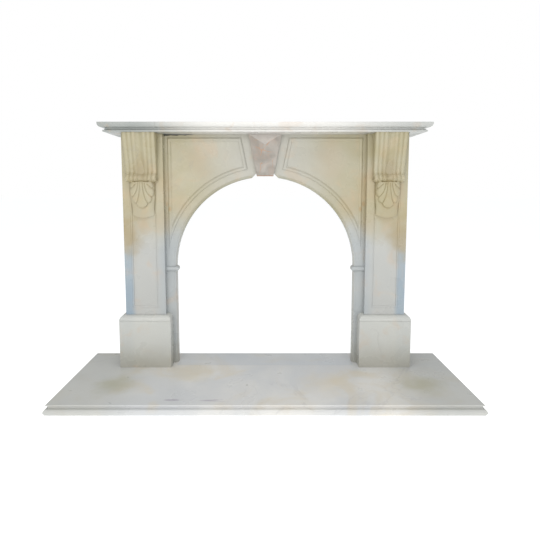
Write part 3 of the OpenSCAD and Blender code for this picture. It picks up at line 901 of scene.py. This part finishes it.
# %% Marble for the hearth
# Each smudge, or painted shadow and reflection of a plinth, is (place on the slab, reach, tint, strength)
SMUDGES_AND_PLINTH_SHADE = [
    # The two olive ones by the plinths are painted shadow and reflection of the plinths
    ((-0.650, -0.080), 0.115, "#9c976f", 0.50),
    ((0.672, -0.080), 0.115, "#9c976f", 0.50),
    ((-0.330, 0.030), 0.140, "#c9bd9f", 0.45),
    ((0.250, -0.060), 0.160, "#cfc3a8", 0.40),
    ((-0.077, -0.082), 0.007, "#6f6a63", 0.70),
]
# Each band of veins is (x, y, reach along x, reach along y)
VEIN_BANDS = [(-0.205, -0.200, 0.105, 0.022), (-0.370, -0.203, 0.040, 0.010)]
JOINT_Y = 0.112  # where the fine line crosses the slab
hearth_marble, tree, shader, where, parts = new_marble("polished grey hearth marble")
cloud = graded(tree, noise(tree, where, 3.2, 6.0, 0.6), 0.30, 0.68)
colour = blend(tree, cloud, "#c5c7c8", "#d6d5d1")
tan = graded(tree, noise(tree, where, 4.6, 4.0, 0.9), 0.50, 0.72, 0.0, 0.50)
colour = blend(tree, tan, colour, "#cbbfa6")
ends = graded(tree, maths(tree, "ABSOLUTE", parts[0]), 0.46, 0.70, 0.0, 0.60)
colour = blend(tree, ends, colour, "#a9aba6")
plan = add(tree, "ShaderNodeCombineXYZ", {0: parts[0], 1: parts[1]}).outputs[0]
ragged = noise(tree, where, 13.0, 5.0)
for (patch_x, patch_y), reach, tint, strength in SMUDGES_AND_PLINTH_SHADE:
    amount = blot(tree, plan, (patch_x, patch_y, 0), ragged, 1.2 * reach, 0.1 * reach, reach, strength)
    colour = blend(tree, amount, colour, tint)
thin = veins(tree, where, 2.1, 0.010, 1.1)
seen = graded(tree, noise(tree, where, 2.3, 2.0), 0.50, 0.64, 0.0, 0.16)
colour = blend(tree, maths(tree, "MULTIPLY", thin, seen), colour, "#8c8a90")
run = add(tree, "ShaderNodeMapping", {"Vector": where, "Scale": (9, 40, 9)}).outputs[0]
streak = graded(tree, noise(tree, run, 1.0, 4.0, 0.8), 0.47, 0.60)
for band_x, band_y, reach_x, reach_y in VEIN_BANDS:
    off_x = maths(tree, "DIVIDE", maths(tree, "SUBTRACT", parts[0], band_x), reach_x)
    off_y = maths(tree, "DIVIDE", maths(tree, "SUBTRACT", parts[1], band_y), reach_y)
    off = maths(tree, "ADD", maths(tree, "POWER", maths(tree, "ABSOLUTE", off_x), 2.0),
                maths(tree, "POWER", maths(tree, "ABSOLUTE", off_y), 2.0))
    amount = maths(tree, "MULTIPLY", graded(tree, off, 1.0, 0.1), maths(tree, "MULTIPLY", streak, 0.58))
    colour = blend(tree, amount, colour, "#98909e")
behind = graded(tree, parts[1], JOINT_Y, JOINT_Y + 2 * MM, 0.0, 0.35)
inside = graded(tree, maths(tree, "ABSOLUTE", parts[0]), ARCH_R + 2 * MM, ARCH_R - 2 * MM)
colour = blend(tree, maths(tree, "MULTIPLY", behind, inside), colour, "#b4bcc4")
from_line = maths(tree, "ABSOLUTE", maths(tree, "SUBTRACT", parts[1], JOINT_Y))
near_line = graded(tree, from_line, 0.0, 1.6 * MM, 0.45, 0.0)
colour = blend(tree, maths(tree, "MULTIPLY", near_line, inside), colour, "#8e9092")
colour = crystals(tree, where, colour, "#85837d")
tree.links.new(colour, shader.inputs["Base Color"])
polish(tree, shader, where, 0.26, 0.18, 0.4)

# %% [markdown]
# ## Keystone marble
# The keystone is from another block: a warm grey marble, nearly pink, with rust-coloured iron veins. One
# vein runs down through the upper point of the pyramid, one crosses the middle, and small ones lie near
# the foot. A few lines are set in place, and a noise field bends them so that they look natural. The face
# that looks up is painted paler, as painted light with some dust, and a rust-brown painted shade runs along
# the foot and the underside. The flanks get their shade from the lights alone.

# %% Marble for the keystone
# Each vein is (start x, start z, end x, end z, half-width in mm, strength)
KEY_VEINS = [
    (0.052, 1.118, 0.002, 1.066, 2.2, 0.60),
    (0.000, 1.068, -0.024, 1.020, 1.6, 0.50),
    (-0.046, 1.060, 0.030, 1.036, 1.9, 0.50),
    (-0.050, 1.092, -0.012, 1.086, 1.4, 0.35),
    (-0.012, 0.992, -0.030, 0.944, 1.8, 0.45),
    (0.040, 1.010, 0.030, 0.968, 1.5, 0.40),
]
KEY_FOOT_SHADE_HEIGHT = [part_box("keystone")[0].z + up * MM for up in (3.5, 1.5)]  # painted shade in rust brown along the keystone's foot and its underside
keystone_marble, tree, shader, where, parts = new_marble("polished rose-grey marble")
cloud = graded(tree, noise(tree, where, 14.0, 5.0, 0.8), 0.32, 0.68)
colour = blend(tree, cloud, "#928c84", "#aba59d")
pink = graded(tree, noise(tree, where, 22.0, 3.0, 0.5), 0.50, 0.68, 0.0, 0.28)
colour = blend(tree, pink, colour, "#b09a8b")
bend = maths(tree, "MULTIPLY", maths(tree, "SUBTRACT", noise(tree, where, 38.0, 3.0), 0.5), 0.028)
for start_x, start_z, end_x, end_z, half_mm, strength in KEY_VEINS:
    run = Vector((end_x - start_x, end_z - start_z))
    along_x, along_z = run.normalized()
    dx = maths(tree, "SUBTRACT", parts[0], start_x)
    dz = maths(tree, "SUBTRACT", parts[2], start_z)
    off = maths(tree, "MULTIPLY_ADD", dx, along_z, maths(tree, "MULTIPLY", dz, -along_x))
    along = maths(tree, "MULTIPLY_ADD", dx, along_x, maths(tree, "MULTIPLY", dz, along_z))
    off = maths(tree, "ABSOLUTE", maths(tree, "ADD", off, bend))
    line = graded(tree, off, 0.3 * half_mm * MM, 1.5 * half_mm * MM, strength, 0.0)
    from_middle = maths(tree, "ABSOLUTE", maths(tree, "SUBTRACT", along, run.length / 2))
    ends = graded(tree, from_middle, run.length / 2, 0.8 * run.length / 2)
    colour = blend(tree, maths(tree, "MULTIPLY", line, ends), colour, "#b8835c")
thin = veins(tree, where, 13.0, 0.016, 0.9)
seen = graded(tree, noise(tree, where, 9.0, 2.0), 0.48, 0.62, 0.0, 0.28)
colour = blend(tree, maths(tree, "MULTIPLY", thin, seen), colour, "#b9947c")
facing = add(tree, "ShaderNodeNewGeometry").outputs["Normal"]
facing = add(tree, "ShaderNodeSeparateXYZ", {0: facing}).outputs
# The face that looks up is painted paler: painted light, with some dust
colour = blend(tree, graded(tree, facing[2], 0.10, 0.30, 0.0, 0.60), colour, "#cfcac5")
# Painted shade in rust brown along the foot and the underside
colour = blend(tree, graded(tree, parts[2], *KEY_FOOT_SHADE_HEIGHT, 0.0, 0.75), colour, "#9a6a3c")
tree.links.new(colour, shader.inputs["Base Color"])
polish(tree, shader, where, 0.22, 0.14, 0.4)

# %% [markdown]
# ## Put the finish on, and tie each piece to the frame
# Every piece takes its marble, names the slab it stands for, and rides with the mantel's one body. The
# left spandrel also takes broken marble in painted shadow, on the faces of its chip.

# %% Finishes and ties
def finish(piece, node, marble):
    piece.data.materials.clear()
    piece.data.materials.append(marble)
    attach(piece, "root")
    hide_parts(node)


finish(hearth, "hearth", hearth_marble)
finish(keystone, "keystone", keystone_marble)
finish(shelf, "shelf", shelf_marble)
finish(bed, "bed_mould", shelf_marble)
for side in SIDES:
    finish(plinths[side], side + "_plinth", plinth_marble)
    finish(pilasters[side], side + "_pilaster", surround_marble)
    finish(returns[side], side + "_return", surround_marble)
    finish(slips[side], side + "_slip", surround_marble)
    finish(spandrels[side], side + "_spandrel", surround_marble)
    finish(corbels[side], side + "_corbel", surround_marble)

CHIP_DEEP = 9 * MM  # a little more than the chip's depth
CHIP_REACH = 0.325  # the chip is farther left than this, in metres
chipped = spandrels["left"].data
chipped.materials.append(broken_marble_in_shadow)
broken = 0
for face in chipped.polygons:
    corners = [chipped.vertices[i].co for i in face.vertices]
    in_chip = all(c.z > bed_z - CHIP_DEEP and c.x < -CHIP_REACH for c in corners)
    whole_top = face.normal.z > 0.9 and face.center.z > bed_z - 0.1 * MM
    if in_chip and not whole_top and face.normal.y < 0.5:
        face.material_index = 1
        broken += 1
print(broken, "faces of the left spandrel are broken marble")

# %% [markdown]
# ## Studio
# The mantel stands on a plain pale floor before a white background. A broad soft light stands in front, a
# little to the left, a weaker one to the right, and a third hangs overhead and draws the mouldings. The floor
# glows faintly, so it meets the background with no line between them. The camera stands a little below the
# shelf and looks slightly down, so the top of the hearth shows.

# %% Floor, lights and background
deselect()
bpy.ops.mesh.primitive_plane_add(size=60, location=(0, 0, cad_low.z))
floor = bpy.context.object
floor.name = "studio_floor"
bpy.ops.object.transform_apply(location=True, rotation=True, scale=True)
floor_paint = bpy.data.materials.new("matt pale floor")
floor_paint.use_nodes = True
paint = floor_paint.node_tree.nodes["Principled BSDF"].inputs
paint["Base Color"].default_value = linear("#fbfbfa")
paint["Roughness"].default_value = 0.9
paint["Emission Color"].default_value = linear("#f8fafb")
paint["Emission Strength"].default_value = 0.48
floor.data.materials.append(floor_paint)
floor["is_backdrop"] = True


def soft_light(name, place_at, aim, size, watts, tint):
    lamp = bpy.data.lights.new(name, "AREA")
    lamp.shape = "DISK"
    lamp.size = size
    lamp.energy = watts
    lamp.color = linear(tint)[:3]
    holder = bpy.data.objects.new(name, lamp)
    scene.collection.objects.link(holder)
    holder.location = place_at
    holder.rotation_euler = (Vector(aim) - Vector(place_at)).to_track_quat("-Z", "Y").to_euler()


soft_light("key_light", (-0.7, -2.8, 1.55), (0, 0, 0.8), 2.2, 28, "#fffaf4")
soft_light("fill_light", (1.1, -2.9, 0.9), (0, 0, 0.6), 2.0, 11, "#f4f7ff")
soft_light("top_light", (0, -0.9, 3.4), (0, -0.1, 0), 2.4, 34, "#ffffff")
world = bpy.data.worlds.new("studio")
scene.world = world
world.use_nodes = True
sky = world.node_tree
ambient = add(sky, "ShaderNodeBackground", {"Color": linear("#f4f6f8"), "Strength": 0.62})
backdrop = add(sky, "ShaderNodeBackground", {"Color": (1, 1, 1, 1), "Strength": 1.0})
ray = add(sky, "ShaderNodeLightPath")
seen_first = ray.outputs["Is Camera Ray"]
both = add(sky, "ShaderNodeMixShader", {0: seen_first, 1: ambient.outputs[0], 2: backdrop.outputs[0]})
sky.links.new(both.outputs[0], sky.nodes["World Output"].inputs["Surface"])
scene.view_settings.view_transform = "Standard"

# %% The camera
lens = bpy.data.cameras.new("camera")
lens.lens = 26.87
lens.sensor_width = 36
lens.shift_x = 0.0091
lens.shift_y = -0.0883
camera = bpy.data.objects.new("camera", lens)
scene.collection.objects.link(camera)
camera.location = (0, -1.7315, 0.880)
camera.rotation_euler = (math.radians(85), 0, 0)
scene.camera = camera

# %% [markdown]
# ## Print the size, and finish
# Both boxes are printed, so that the visual model can be compared with the imported one.

# %% Sizes and the last line
low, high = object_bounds()
print("visual box", tuple(round(v, 4) for v in low), tuple(round(v, 4) for v in high))
